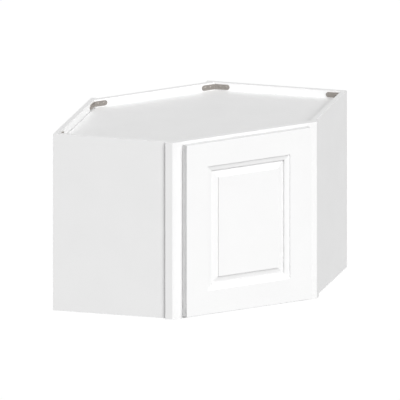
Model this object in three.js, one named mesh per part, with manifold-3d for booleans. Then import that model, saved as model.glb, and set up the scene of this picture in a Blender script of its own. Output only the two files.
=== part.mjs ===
import * as THREE from "three";
import { mergeVertices } from "three/addons/utils/BufferGeometryUtils.js";
import Module from "manifold-3d";

// Corner wall cabinet: a six-sided case that stands in a room corner, with a face frame and one
// overlay door across the diagonal front. Millimetres, Z up, the door faces -Y.

// Case
const cabinetHeight = 457.2;
const panelThickness = 12.7;
const wallRun = 598.5; // room corner to the outer face of each side panel
const frontFromRoomCorner = 649.2; // room corner to the front plane of the face frame
const cornerCut = 254; // room corner to where the corner panel's outer face meets a wall
const backOverrun = 18; // the back panels run on past that line
const rabbetDepth = 6.35; // in the side panels, for the back panels
const housingDepth = 5; // of the top and bottom panels in the panels around them
const deckRecess = 20; // outer face of the top and bottom panels in from the case's edges
const glueGap = 0.2;
const cutPast = 1; // how far a cutter runs on past the face it opens
const joinLap = 1; // how far joined solids run into each other

// Face frame
const frameWidth = 415.9; // across the front faces of the two stiles
const frameThickness = 19;
const frameStileWidth = 60.3;
const frameRailWidth = 38.1;
const frameBevelFace = 19; // width of the stiles' outer faces, which lie parallel to the side panels
const tenonLength = 12;
const tenonThickness = 8;
const tenonShoulder = 6;

// Door
const doorSideReveal = 28.2;
const doorEndReveal = 6.35;
const doorGap = 3.5; // between the door's back and the face frame
const doorThickness = 19;
const doorMemberWidth = 74.7;
const stickingWidth = 13.4; // moulded inner edge of the stiles and rails
const stickingStep = 2.2;
const stickingStepRun = 0.5;
const stickingDepth = 5.6;
const grooveFront = 9.2; // depth of the panel groove's front wall below the face
const grooveWidth = 6.4;
const grooveDepth = 9.5;
const copeGap = 0.1;
const panelEntry = 8; // of the raised panel's edge in the groove
const panelPlay = 0.2;
const panelBevelRun = 16.3;
const panelBevelTop = 5.2; // depth of the bevel's upper end below the door's face
const panelShoulderRun = 0.4;
const panelFieldDepth = 2.8;

// Shelf and its supports
const shelfPlay = 2.5;
const shelfHeight = 222;
const pinHoleSpacing = 32;
const pinRadius = 2.5;
const pinLength = 8;
const pinHolePlay = 0.15;
const pinPlateWidth = 10;
const pinPlateHeight = 15;
const pinPlateThickness = 1.5;
const pinLedgeReach = 9;
const pinLedgeThickness = 3;
const sidePinFromFront = 60;
const backPinFromCut = 90;

// Corner straps in the top recess
const strapLeg = 38;
const strapWidth = 13;
const strapThickness = 2;
const strapBelowEdge = 4;
const strapScrewFromBend = 13;
const strapScrewSpacing = 15;

// Screws
const screwHeadRadius = 3.2;
const screwHeadHeight = 1;
const screwHeadRim = 0.45; // height of the head's upright edge
const screwHeadFlat = 2; // radius of the head's flat top
const screwShankRadius = 1.5;
const screwLength = 11;
const screwPointLength = 3;
const screwHolePlay = 0.15;
const screwSeat = 0.1; // under each head
const recessWidth = 0.9;
const recessLength = 3.4;
const recessDepth = 0.6;

// Hinges
const hingeFromDoorEnd = 89;
const cupRadius = 17.5;
const cupWall = 0.9;
const cupDepth = 12.5;
const cupFromDoorEdge = 3;
const cupPlay = 0.3;
const flangeThickness = 1.2;
const flangeLift = 0.1; // off the door's back
const flangeHalfHeight = 31;
const flangeHalfWidth = 9;
const flangeOffset = 9.5; // screw line from the cup's centre line
const flangeScrewHalfSpacing = 24;
const pivotFromDoorEdge = 7.6;
const pivotFromFrame = 13.1;
const pivotPinRadius = 1;
const pivotPinHalfLength = 10.6;
const pivotPlay = 0.1;
const eyeRadius = 1.8;
const armHalfWidth = 4.5;
const armThickness = 2.2;
const armAbovePivot = 1.7;
const armPlateHalfHeight = 25;
const armPlateFront = 1; // arm plate's front edge behind the frame's front face
const armPlateEdge = 1.5; // arm plate's back edge in from the frame's back face
const armScrewHalfSpacing = 16;

// Door bumpers
const bumperRadius = 5;
const bumperRim = 1.1;
const bumperShoulder = 2.5;
const bumperShoulderRadius = 4;
const bumperTopRadius = 2.2;
const bumperPlay = 0.3;
const bumperInset = 12;

const diagonal = Math.SQRT1_2;
const quarterTurn = Math.PI / 2;
const reachToFront = doorGap + doorThickness;
const reachToBack = frontFromRoomCorner - (cornerCut - backOverrun) * diagonal;
const frameFrontY = (reachToFront - reachToBack) / 2;
const frameBackY = frameFrontY + frameThickness;
const roomCornerY = frameFrontY + frontFromRoomCorner;
const cornerPanelBackY = roomCornerY - cornerCut * diagonal;
const cornerPanelFrontY = cornerPanelBackY - panelThickness;
const doorWidth = frameWidth - 2 * doorSideReveal;
const doorHeight = cabinetHeight - 2 * doorEndReveal;
const frameOpeningX = frameWidth / 2 - frameStileWidth;
const sideInner = wallRun - panelThickness;
const topDeckZ = cabinetHeight - deckRecess - panelThickness;
const strapZ = cabinetHeight - strapBelowEdge - strapWidth;
const cupCentreX = cupFromDoorEdge + cupRadius - pivotFromDoorEdge; // from the pivot line
const doorBackFromPivot = pivotFromFrame - doorGap;
const openingFromPivot = frameStileWidth - doorSideReveal - pivotFromDoorEdge;

const wasm = await Module();
wasm.setup();

const white = { color: 0xf3f3f1, roughness: 0.45, metalness: 0 };
const melamine = { color: 0xeeeeeb, roughness: 0.55, metalness: 0 };
const zinc = { color: 0xa39e99, roughness: 0.4, metalness: 1 };
const nickel = { color: 0xb9b6b0, roughness: 0.25, metalness: 1 };
const clearRubber = { color: 0xe4e4e0, roughness: 0.6, metalness: 0 };

function solidOf(geometry) {
  const bare = geometry.clone();
  bare.deleteAttribute("normal");
  bare.deleteAttribute("uv");
  const merged = mergeVertices(bare, 1e-4);
  const mesh = new wasm.Mesh({
    numProp: 3,
    vertProperties: new Float32Array(merged.attributes.position.array),
    triVerts: new Uint32Array(merged.index.array),
  });
  return new wasm.Manifold(mesh);
}

function geometryOf(solid) {
  const mesh = solid.getMesh();
  const geometry = new THREE.BufferGeometry();
  geometry.setAttribute("position", new THREE.BufferAttribute(mesh.vertProperties, mesh.numProp));
  geometry.setIndex(new THREE.BufferAttribute(mesh.triVerts, 1));
  geometry.computeVertexNormals();
  return geometry;
}

function cut(geometry, cutters) {
  let solid = solidOf(geometry);
  for (const cutter of cutters) {
    solid = solid.subtract(solidOf(cutter));
  }
  return geometryOf(solid);
}

function join(geometries) {
  let solid = solidOf(geometries[0]);
  for (const geometry of geometries.slice(1)) {
    solid = solid.add(solidOf(geometry));
  }
  return geometryOf(solid);
}

function piece(name, geometry, finish) {
  const mesh = new THREE.Mesh(geometry, new THREE.MeshStandardMaterial(finish));
  mesh.name = name;
  return mesh;
}

// Block between two corners.
function block(low, high) {
  const size = new THREE.Vector3().subVectors(high, low);
  const middle = new THREE.Vector3().addVectors(low, high).multiplyScalar(0.5);
  return new THREE.BoxGeometry(size.x, size.y, size.z).translate(middle.x, middle.y, middle.z);
}

function point(x, y, z) {
  return new THREE.Vector3(x, y, z);
}

// Upright prism over a plan outline.
function prism(outline, bottom, height) {
  const options = { depth: height, bevelEnabled: false };
  return new THREE.ExtrudeGeometry(new THREE.Shape(outline), options).translate(0, 0, bottom);
}

function plan(x, y) {
  return new THREE.Vector2(x, y);
}

// Outline whose right half mirrors the left one.
function bothHands(leftHalf) {
  const rightHalf = leftHalf.map((corner) => plan(-corner.x, corner.y)).reverse();
  return leftHalf.concat(rightHalf);
}

// Left-hand plan points by distance along a wall from the room corner and distance in from it.
function alongAndIn(along, inward) {
  return plan((inward - along) * diagonal, roomCornerY - (along + inward) * diagonal);
}

function alongAtY(along, y) {
  return plan(roomCornerY - y - along / diagonal, y);
}

function inAtY(inward, y) {
  return plan(inward / diagonal - (roomCornerY - y), y);
}

// Outline of a deck or shelf, given where its six edges lie.
function deckOutline(sideAlong, backInward, frontY, cornerY) {
  return bothHands([
    alongAtY(sideAlong, frontY),
    alongAndIn(sideAlong, backInward),
    inAtY(backInward, cornerY),
  ]);
}

// Frame of one wall: its X runs along the wall from the room corner. Hand 1 is the left wall.
function wallFrame(name, hand) {
  const group = new THREE.Group();
  group.name = name;
  group.position.set(0, roomCornerY, 0);
  group.rotation.z = hand > 0 ? -3 * quarterTurn / 2 : -quarterTurn / 2;
  return group;
}

// Plan block in a wall's frame, by distances along the wall and in from it.
function wallBlock(hand, along, inward, heights) {
  const near = hand * inward[0];
  const far = hand * inward[1];
  return block(
    point(along[0], Math.min(near, far), heights[0]),
    point(along[1], Math.max(near, far), heights[1]),
  );
}

function housingHeights(deckZ) {
  return [deckZ - glueGap, deckZ + panelThickness + glueGap];
}

function sidePanel(name, hand) {
  const outerEnd = (roomCornerY - frameBackY - glueGap) / diagonal - wallRun;
  const innerEnd = outerEnd + panelThickness;
  const rabbetEdge = sideInner + rabbetDepth;
  const rabbetEnd = panelThickness + glueGap;
  const outline = [
    plan(rabbetEdge, 0),
    plan(wallRun, 0),
    plan(wallRun, hand * outerEnd),
    plan(sideInner, hand * innerEnd),
    plan(sideInner, hand * rabbetEnd),
    plan(rabbetEdge, hand * rabbetEnd),
  ];
  const housingAlong = [sideInner - cutPast, sideInner + housingDepth + glueGap];
  const housingIn = [rabbetEnd - cutPast, innerEnd + cutPast];
  const housings = [deckRecess, topDeckZ].map((deckZ) =>
    wallBlock(hand, housingAlong, housingIn, housingHeights(deckZ)),
  );
  return piece(name, cut(prism(outline, 0, cabinetHeight), housings), white);
}

function backPanel(name, hand) {
  const start = cornerCut - backOverrun;
  const end = sideInner + rabbetDepth - glueGap;
  const board = wallBlock(hand, [start, end], [0, panelThickness], [0, cabinetHeight]);
  const deckEnd = (roomCornerY - cornerPanelFrontY - housingDepth) / diagonal - panelThickness;
  const housingAlong = [deckEnd - cutPast, sideInner + housingDepth + glueGap];
  const housingIn = [panelThickness - housingDepth - glueGap, panelThickness + cutPast];
  const housings = [deckRecess, topDeckZ].map((deckZ) =>
    wallBlock(hand, housingAlong, housingIn, housingHeights(deckZ)),
  );
  return piece(name, cut(board, housings), white);
}

function cornerBackPanel() {
  const seat = panelThickness + glueGap;
  const outline = bothHands([inAtY(seat, cornerPanelFrontY), inAtY(seat, cornerPanelBackY)]);
  const housingY = cornerPanelFrontY + housingDepth + glueGap;
  const housings = [deckRecess, topDeckZ].map((deckZ) => {
    const heights = housingHeights(deckZ);
    return block(
      point(-wallRun, cornerPanelFrontY - cutPast, heights[0]),
      point(wallRun, housingY, heights[1]),
    );
  });
  return piece("corner_back_panel", cut(prism(outline, 0, cabinetHeight), housings), white);
}

function deck(name, bottom) {
  const outline = deckOutline(
    sideInner + housingDepth,
    panelThickness - housingDepth,
    frameBackY + glueGap,
    cornerPanelFrontY + housingDepth,
  );
  return piece(name, prism(outline, bottom, panelThickness), melamine);
}

function shelf() {
  const outline = deckOutline(
    sideInner - shelfPlay,
    panelThickness + shelfPlay,
    frameBackY + shelfPlay,
    cornerPanelFrontY - shelfPlay,
  );
  return piece("adjustable_shelf", prism(outline, shelfHeight, panelThickness), melamine);
}

// Stub tenon of a face frame rail, or its mortise when grown by the glue gap. Side -1 is the left.
function frameTenon(side, railBottom, growth) {
  const reach = side * (frameOpeningX + tenonLength + growth);
  const root = side * (frameOpeningX - joinLap);
  const middleY = frameFrontY + frameThickness / 2;
  const halfThickness = tenonThickness / 2 + growth;
  return block(
    point(Math.min(reach, root), middleY - halfThickness, railBottom + tenonShoulder - growth),
    point(
      Math.max(reach, root),
      middleY + halfThickness,
      railBottom + frameRailWidth - tenonShoulder + growth,
    ),
  );
}

// Stile whose outer edge is bevelled at 45 degrees and then returns square to the bevel, so that
// the bevel stands proud of the side panel as the frame of a straight cabinet does.
function frameStile(name, side) {
  const bevelRun = frameBevelFace * diagonal;
  const returnRun = frameThickness - bevelRun;
  const outline = [
    plan(side * frameOpeningX, frameFrontY),
    plan(side * (frameWidth / 2), frameFrontY),
    plan(side * (frameWidth / 2 + bevelRun), frameFrontY + bevelRun),
    plan(side * (frameWidth / 2 + bevelRun - returnRun), frameBackY),
    plan(side * frameOpeningX, frameBackY),
  ];
  const mortises = [0, cabinetHeight - frameRailWidth].map((railBottom) =>
    frameTenon(side, railBottom, glueGap),
  );
  return piece(name, cut(prism(outline, 0, cabinetHeight), mortises), white);
}

function frameRail(name, railBottom) {
  const end = frameOpeningX - glueGap;
  const bar = block(
    point(-end, frameFrontY, railBottom),
    point(end, frameBackY, railBottom + frameRailWidth),
  );
  const tenons = [-1, 1].map((side) => frameTenon(side, railBottom, 0));
  return piece(name, join([bar, ...tenons]), white);
}

// Section of a door stile or rail: x from the outer edge inwards, y from the front face back.
function memberSection() {
  const inner = doorMemberWidth;
  const stickingStart = inner - stickingWidth;
  return [
    plan(0, 0),
    plan(stickingStart, 0),
    plan(stickingStart + stickingStepRun, stickingStep),
    plan(inner, stickingDepth),
    plan(inner, grooveFront),
    plan(inner - grooveDepth, grooveFront),
    plan(inner - grooveDepth, grooveFront + grooveWidth),
    plan(inner, grooveFront + grooveWidth),
    plan(inner, doorThickness),
    plan(0, doorThickness),
  ];
}

// Section of all that a rail's end is cut back to, so that it fits over the stile's moulding.
function copeSection() {
  const inner = doorMemberWidth + copeGap;
  const stickingStart = doorMemberWidth - stickingWidth + copeGap;
  return [
    plan(-cutPast, -cutPast),
    plan(stickingStart, -cutPast),
    plan(stickingStart, 0),
    plan(stickingStart + stickingStepRun, stickingStep - copeGap),
    plan(inner, stickingDepth - copeGap),
    plan(inner, doorThickness + cutPast),
    plan(-cutPast, doorThickness + cutPast),
  ];
}

// The door's own frame: X from its hinge edge, Y 0 on its back and the front at -doorThickness.
function doorPlan(section, side) {
  return section.map((corner) => {
    const x = side < 0 ? corner.x : doorWidth - corner.x;
    return plan(x, corner.y - doorThickness);
  });
}

function doorStile(name, side) {
  return piece(name, prism(doorPlan(memberSection(), side), 0, doorHeight), white);
}

// Rail lying along X, its moulding towards the middle of the door. End 1 is the top rail.
function railBar(end) {
  const section = memberSection().map((corner) => plan(corner.x, corner.y - doorThickness));
  const bar = prism(section, 0, doorWidth);
  bar.rotateY(end * quarterTurn);
  bar.translate(end > 0 ? 0 : doorWidth, 0, end > 0 ? doorHeight : 0);
  return bar;
}

function railTenon(side, end) {
  const reach = doorMemberWidth - grooveDepth + panelPlay;
  const root = doorMemberWidth + copeGap + joinLap;
  const solidWidth = doorMemberWidth - grooveDepth - panelPlay;
  const bottom = end > 0 ? doorHeight - solidWidth : 0;
  const low = side < 0 ? reach : doorWidth - root;
  const high = side < 0 ? root : doorWidth - reach;
  return block(
    point(low, grooveFront + panelPlay - doorThickness, bottom),
    point(high, grooveFront + grooveWidth - panelPlay - doorThickness, bottom + solidWidth),
  );
}

function doorRail(name, end) {
  const copes = [-1, 1].map((side) =>
    prism(doorPlan(copeSection(), side), -cutPast, doorHeight + 2 * cutPast),
  );
  const tenons = [-1, 1].map((side) => railTenon(side, end));
  return piece(name, join([cut(railBar(end), copes), ...tenons]), white);
}

// Section across the raised panel: x from its edge, y from the door's front face back.
function raisedSection(size) {
  const tongueFront = grooveFront + panelPlay;
  const tongueBack = grooveFront + grooveWidth - panelPlay;
  const bevelEnd = panelEntry + panelBevelRun;
  const shoulderEnd = bevelEnd + panelShoulderRun;
  const half = [
    plan(0, tongueBack),
    plan(0, tongueFront),
    plan(panelEntry, tongueFront),
    plan(bevelEnd, panelBevelTop),
    plan(shoulderEnd, panelFieldDepth),
  ];
  const otherHalf = half.map((corner) => plan(size - corner.x, corner.y)).reverse();
  return half.concat(otherHalf).map((corner) => plan(corner.x, corner.y - doorThickness));
}

function raisedPanel() {
  const edge = doorMemberWidth - panelEntry;
  const width = doorWidth - 2 * edge;
  const height = doorHeight - 2 * edge;
  const across = prism(raisedSection(width), 0, height);
  const upright = prism(raisedSection(height), 0, width);
  upright.rotateY(-quarterTurn);
  upright.translate(width, 0, 0);
  const both = geometryOf(solidOf(across).intersect(solidOf(upright)));
  const panel = piece("door_raised_panel", both, white);
  panel.position.set(edge, 0, edge);
  return panel;
}

// L-shaped shelf support: its plug runs along +X into the panel, the plate stands on the YZ plane.
function shelfSupport(name) {
  const plug = cylinderAcross(pinRadius, -pinPlateThickness, pinLength);
  const plateBottom = -pinPlateHeight / 2;
  const plate = block(
    point(-pinPlateThickness, -pinPlateWidth / 2, plateBottom),
    point(0, pinPlateWidth / 2, -plateBottom),
  );
  const ledge = block(
    point(-pinLedgeReach, -pinPlateWidth / 2, -plateBottom - pinLedgeThickness),
    point(0, pinPlateWidth / 2, -plateBottom),
  );
  return piece(name, join([plug, plate, ledge]), nickel);
}

// Cylinder along X between two places.
function cylinderAcross(radius, start, end) {
  const cylinder = new THREE.CylinderGeometry(radius, radius, end - start, 16);
  return cylinder.rotateZ(quarterTurn).translate((start + end) / 2, 0, 0);
}

// Bores a panel, at the support's place and one step above and below it.
function borePinHoles(panel, support) {
  const toPanel = relativeMatrix(support, panel);
  const holes = [-1, 0, 1].map((step) => {
    const hole = cylinderAcross(pinRadius + pinHolePlay, -cutPast, pinLength + pinHolePlay);
    hole.translate(0, 0, step * pinHoleSpacing);
    return hole.applyMatrix4(toPanel);
  });
  panel.geometry = cut(panel.geometry, holes);
}

function relativeMatrix(from, to) {
  const matrix = new THREE.Matrix4().copy(to.matrixWorld).invert();
  return matrix.multiply(from.matrixWorld);
}

// One leg of a corner strap: along +X from the bend, thickness towards +Y, with a round end.
function strapLegShape() {
  const shape = new THREE.Shape();
  const endCentre = strapLeg - strapWidth / 2;
  shape.moveTo(0, 0);
  shape.lineTo(endCentre, 0);
  shape.absarc(endCentre, strapWidth / 2, strapWidth / 2, -quarterTurn, quarterTurn, false);
  shape.lineTo(0, strapWidth);
  return shape;
}

function strapLegGeometry() {
  const options = { depth: strapThickness, bevelEnabled: false, curveSegments: 10 };
  const leg = new THREE.ExtrudeGeometry(strapLegShape(), options);
  leg.rotateX(quarterTurn);
  return leg.translate(0, strapThickness, 0);
}

// Strap bent to an inside corner: one leg along +X, the other turned to the bend's angle.
function cornerStrap(name, bend) {
  const second = strapLegGeometry().translate(0, -strapThickness, 0);
  second.rotateZ(bend);
  return piece(name, join([strapLegGeometry(), second]), zinc);
}

function screwProfile() {
  return [
    plan(0, -screwLength),
    plan(screwShankRadius, screwPointLength - screwLength),
    plan(screwShankRadius, 0),
    plan(screwHeadRadius, 0),
    plan(screwHeadRadius, screwHeadRim),
    plan(screwHeadFlat, screwHeadHeight),
    plan(0, screwHeadHeight),
  ];
}

// Pan head screw with a crossed recess; its head's underside is at the origin, the point at -Z.
function screwGeometry() {
  const body = new THREE.LatheGeometry(screwProfile(), 12).rotateX(quarterTurn);
  const slot = new THREE.BoxGeometry(recessLength, recessWidth, 2 * recessDepth);
  slot.translate(0, 0, screwHeadHeight);
  const cross = slot.clone().rotateZ(quarterTurn);
  return cut(body, [slot, cross]);
}

function screw(name) {
  return piece(name, screwGeometry(), zinc);
}

function boreScrewHole(target, fastener) {
  const radius = screwShankRadius + screwHolePlay;
  const depth = screwLength + screwHolePlay;
  const hole = new THREE.CylinderGeometry(radius, radius, depth, 12).rotateX(quarterTurn);
  hole.translate(0, 0, -depth / 2);
  hole.applyMatrix4(relativeMatrix(fastener, target));
  target.geometry = cut(target.geometry, [hole]);
}

// Points a screw's shank along a direction of its parent's frame.
function aim(fastener, position, direction) {
  fastener.position.copy(position);
  fastener.quaternion.setFromUnitVectors(point(0, 0, -1), direction);
}

const cabinet = new THREE.Group();
cabinet.name = "corner_wall_cabinet";
const hands = { left: 1, right: -1 };
const cornerPanel = cornerBackPanel();
cabinet.add(cornerPanel, deck("top_panel", topDeckZ), deck("bottom_panel", deckRecess), shelf());
cabinet.add(frameStile("frame_left_stile", -1), frameStile("frame_right_stile", 1));
cabinet.add(frameRail("frame_bottom_rail", 0));
cabinet.add(frameRail("frame_top_rail", cabinetHeight - frameRailWidth));

// Screws of one strap, two in each leg, bored through the strap and into the panel behind it.
function fastenStrap(strap, bend, panels) {
  panels.forEach((panel, leg) => {
    const along = point(Math.cos(leg * bend), Math.sin(leg * bend), 0);
    const inward = leg === 0 ? point(0, 1, 0) : point(Math.sin(bend), -Math.cos(bend), 0);
    for (const step of [0, 1]) {
      const fastener = screw(strap.name + "_screw_" + (2 * leg + step + 1));
      const spot = point(0, 0, strapWidth / 2);
      spot.addScaledVector(along, strapScrewFromBend + step * strapScrewSpacing);
      spot.addScaledVector(inward, strapThickness + screwSeat);
      aim(fastener, spot, inward.clone().negate());
      strap.add(fastener);
      fastener.updateWorldMatrix(true, false);
      boreScrewHole(strap, fastener);
      boreScrewHole(panel, fastener);
    }
  });
}

// Strap in the inside corner at a bend point; its first leg lies at an angle in the wall's frame.
// The panels behind its two legs are given in the same order.
function addStrap(wall, name, bend, bendPoint, angle, panels) {
  const strap = cornerStrap(name, bend);
  const clear = glueGap / Math.sin(bend / 2);
  const outward = angle + bend / 2;
  strap.position.set(Math.cos(outward), Math.sin(outward), 0).multiplyScalar(clear);
  strap.position.add(bendPoint);
  strap.rotation.z = angle;
  wall.add(strap);
  strap.updateWorldMatrix(true, false);
  fastenStrap(strap, bend, panels);
}

// Straps at the two ends of a back panel's inner face.
function addStraps(wall, side, hand, sidePiece, backPiece) {
  const inner = hand * panelThickness;
  const sideBend = point(sideInner, inner, strapZ);
  const sideAngle = hand > 0 ? quarterTurn : Math.PI;
  const sidePieces = hand > 0 ? [sidePiece, backPiece] : [backPiece, sidePiece];
  addStrap(wall, side + "_side_strap", quarterTurn, sideBend, sideAngle, sidePieces);
  const cutAlong = (roomCornerY - cornerPanelFrontY) / diagonal - panelThickness;
  const cutBend = point(cutAlong, inner, strapZ);
  const obtuse = 1.5 * quarterTurn;
  const cutAngle = hand > 0 ? 0 : -obtuse;
  const cutPieces = hand > 0 ? [backPiece, cornerPanel] : [cornerPanel, backPiece];
  addStrap(wall, side + "_corner_strap", obtuse, cutBend, cutAngle, cutPieces);
}

function addSupport(wall, name, position, angle, panel) {
  const support = shelfSupport(name);
  support.position.copy(position);
  support.rotation.z = angle;
  wall.add(support);
  support.updateWorldMatrix(true, false);
  borePinHoles(panel, support);
}

function addSupports(wall, side, hand, sidePiece, backPiece) {
  const z = shelfHeight - pinPlateHeight / 2 - glueGap;
  const frontEnd = (roomCornerY - frameBackY) / diagonal - sideInner;
  const frontSpot = point(sideInner - glueGap, hand * (frontEnd - sidePinFromFront), z);
  addSupport(wall, side + "_front_shelf_pin", frontSpot, 0, sidePiece);
  const backSpot = point(cornerCut + backPinFromCut, hand * (panelThickness + glueGap), z);
  addSupport(wall, side + "_back_shelf_pin", backSpot, -hand * quarterTurn, backPiece);
}

function addWall(side, hand) {
  const wall = wallFrame(side + "_wall_panels", hand);
  const sidePiece = sidePanel(side + "_side_panel", hand);
  const backPiece = backPanel(side + "_back_panel", hand);
  wall.add(sidePiece, backPiece);
  cabinet.add(wall);
  cabinet.updateMatrixWorld(true);
  addSupports(wall, side, hand, sidePiece, backPiece);
  addStraps(wall, side, hand, sidePiece, backPiece);
}

for (const [side, hand] of Object.entries(hands)) {
  addWall(side, hand);
}

// The door, in a frame that starts at the foot of its hinge edge, on its back.
const door = new THREE.Group();
door.name = "door";
door.position.set(-doorWidth / 2, frameFrontY - doorGap, doorEndReveal);
const hingeStile = doorStile("door_hinge_stile", -1);
const freeStile = doorStile("door_free_stile", 1);
door.add(hingeStile, freeStile, doorRail("door_bottom_rail", -1), doorRail("door_top_rail", 1));
door.add(raisedPanel());
cabinet.add(door);

function bumper(name, z) {
  const height = doorGap - bumperPlay;
  const dome = [
    plan(0, 0),
    plan(bumperRadius, 0),
    plan(bumperRadius, bumperRim),
    plan(bumperShoulderRadius, bumperShoulder),
    plan(bumperTopRadius, height),
    plan(0, height),
  ];
  const pad = piece(name, new THREE.LatheGeometry(dome, 20), clearRubber);
  pad.position.set(doorWidth - bumperInset, 0, z);
  return pad;
}

door.add(bumper("lower_door_bumper", bumperInset));
door.add(bumper("upper_door_bumper", doorHeight - bumperInset));

// Hinge pieces share a frame with its origin on the pivot line: X to the door's free edge, and
// -Y to the front.
function cupProfile() {
  const inner = cupRadius - cupWall;
  return [
    plan(0, -cupDepth),
    plan(cupRadius, -cupDepth),
    plan(cupRadius, flangeThickness),
    plan(inner, flangeThickness),
    plan(inner, cupWall - cupDepth),
    plan(0, cupWall - cupDepth),
  ];
}

function cylinderUpright(radius, height) {
  return new THREE.CylinderGeometry(radius, radius, height, 24).rotateX(quarterTurn);
}

function hingeCup(name) {
  const cup = new THREE.LatheGeometry(cupProfile(), 40).translate(cupCentreX, doorBackFromPivot, 0);
  const flangeX = cupCentreX + flangeOffset;
  const flangeY = doorBackFromPivot + flangeLift;
  const flange = block(
    point(flangeX - flangeHalfWidth, flangeY, -flangeHalfHeight),
    point(flangeX + flangeHalfWidth, flangeY + flangeThickness, flangeHalfHeight),
  );
  const mouth = new THREE.CylinderGeometry(cupRadius - cupWall, cupRadius - cupWall, cupDepth, 40);
  mouth.translate(cupCentreX, doorBackFromPivot + cupDepth / 2 - cupWall, 0);
  const pinHole = cylinderUpright(pivotPinRadius + pivotPlay / 2, 2 * cupRadius);
  return piece(name, cut(join([cup, flange]), [mouth, pinHole]), nickel);
}

function hingePin(name) {
  return piece(name, cylinderUpright(pivotPinRadius, 2 * pivotPinHalfLength), nickel);
}

// Arm from the pivot across the cup, out at its mouth and onto the edge of the face frame stile.
function hingeArm(name) {
  const edgeX = openingFromPivot + glueGap;
  const bend = [
    plan(0, -armAbovePivot),
    plan(edgeX + armThickness, -armAbovePivot),
    plan(edgeX + armThickness, pivotFromFrame + armPlateFront + joinLap),
    plan(edgeX, pivotFromFrame + armPlateFront + joinLap),
    plan(edgeX, armThickness - armAbovePivot),
    plan(0, armThickness - armAbovePivot),
  ];
  const strap = prism(bend, -armHalfWidth, 2 * armHalfWidth);
  const eye = cylinderUpright(eyeRadius, 2 * armHalfWidth);
  const plate = block(
    point(edgeX, pivotFromFrame + armPlateFront, -armPlateHalfHeight),
    point(edgeX + armThickness, pivotFromFrame + frameThickness - armPlateEdge, armPlateHalfHeight),
  );
  const bore = cylinderUpright(pivotPinRadius + pivotPlay, 2 * armHalfWidth + 2 * cutPast);
  return piece(name, cut(join([strap, eye, plate]), [bore]), nickel);
}

function boreCup(stile, hinge) {
  const depth = cupDepth + cupPlay + cutPast;
  const radius = cupRadius + cupPlay;
  const bore = new THREE.CylinderGeometry(radius, radius, depth, 40);
  bore.translate(cupCentreX, doorBackFromPivot + cutPast - depth / 2, 0);
  bore.applyMatrix4(relativeMatrix(hinge, stile));
  stile.geometry = cut(stile.geometry, [bore]);
}

function hingeScrew(hinge, name, position, direction, targets) {
  const fastener = screw(name);
  aim(fastener, position, direction);
  hinge.add(fastener);
  fastener.updateWorldMatrix(true, false);
  for (const target of targets) {
    boreScrewHole(target, fastener);
  }
}

function addHinge(name, z, frameStilePiece) {
  const hinge = new THREE.Group();
  hinge.name = name;
  const pivotX = -doorWidth / 2 + pivotFromDoorEdge;
  hinge.position.set(pivotX, frameFrontY - pivotFromFrame, z);
  const cup = hingeCup(name + "_cup");
  const arm = hingeArm(name + "_arm");
  hinge.add(cup, arm, hingePin(name + "_pin"));
  cabinet.add(hinge);
  cabinet.updateMatrixWorld(true);
  boreCup(hingeStile, hinge);
  const flangeSeat = doorBackFromPivot + flangeLift + flangeThickness + screwSeat;
  const armSeat = openingFromPivot + glueGap + armThickness + screwSeat;
  const armScrewY = pivotFromFrame + frameThickness / 2;
  for (const [label, side] of Object.entries({ lower: -1, upper: 1 })) {
    const cupSpot = point(cupCentreX + flangeOffset, flangeSeat, side * flangeScrewHalfSpacing);
    hingeScrew(hinge, name + "_cup_" + label + "_screw", cupSpot, point(0, -1, 0), [cup, hingeStile]);
    const armSpot = point(armSeat, armScrewY, side * armScrewHalfSpacing);
    const armTargets = [arm, frameStilePiece];
    hingeScrew(hinge, name + "_arm_" + label + "_screw", armSpot, point(-1, 0, 0), armTargets);
  }
}

const frameLeftStile = cabinet.getObjectByName("frame_left_stile");
addHinge("lower_hinge", doorEndReveal + hingeFromDoorEnd, frameLeftStile);
addHinge("upper_hinge", cabinetHeight - doorEndReveal - hingeFromDoorEnd, frameLeftStile);

export default cabinet;
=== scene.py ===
"""Corner wall cabinet in white paint, dressed around its packed construction model.

Lengths are metres, +Z is up and the closed door faces -Y. The boards, the door's members and the
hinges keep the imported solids' shape and get eased edges, and the door's mouldings are cut a little
deeper. The raised panel, bumpers, screws, straps and shelf supports are modelled here.
"""

import logging
import math
from collections.abc import Iterable, Sequence
from dataclasses import dataclass
from enum import Enum

import bmesh
import bpy
from mathutils import Matrix, Vector


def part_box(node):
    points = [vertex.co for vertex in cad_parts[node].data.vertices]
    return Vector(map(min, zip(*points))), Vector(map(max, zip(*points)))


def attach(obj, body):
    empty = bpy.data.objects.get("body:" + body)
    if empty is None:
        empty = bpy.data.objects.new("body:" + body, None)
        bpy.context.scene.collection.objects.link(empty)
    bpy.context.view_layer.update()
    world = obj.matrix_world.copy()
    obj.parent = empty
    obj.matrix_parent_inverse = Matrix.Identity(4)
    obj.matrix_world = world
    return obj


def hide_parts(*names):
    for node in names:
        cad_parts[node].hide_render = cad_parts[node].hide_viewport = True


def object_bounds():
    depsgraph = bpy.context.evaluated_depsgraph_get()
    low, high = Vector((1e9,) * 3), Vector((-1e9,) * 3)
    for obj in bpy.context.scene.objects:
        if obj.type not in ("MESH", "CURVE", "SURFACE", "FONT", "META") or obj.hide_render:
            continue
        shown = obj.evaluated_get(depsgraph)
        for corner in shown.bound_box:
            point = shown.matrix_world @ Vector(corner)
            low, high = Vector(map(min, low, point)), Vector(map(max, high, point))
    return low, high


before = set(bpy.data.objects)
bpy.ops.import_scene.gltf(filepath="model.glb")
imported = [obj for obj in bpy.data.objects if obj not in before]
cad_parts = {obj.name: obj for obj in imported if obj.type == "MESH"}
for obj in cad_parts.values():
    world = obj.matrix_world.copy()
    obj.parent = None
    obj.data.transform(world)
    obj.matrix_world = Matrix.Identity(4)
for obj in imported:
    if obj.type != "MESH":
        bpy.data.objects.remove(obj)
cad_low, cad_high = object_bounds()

log = logging.getLogger("corner_wall_cabinet")

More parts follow.
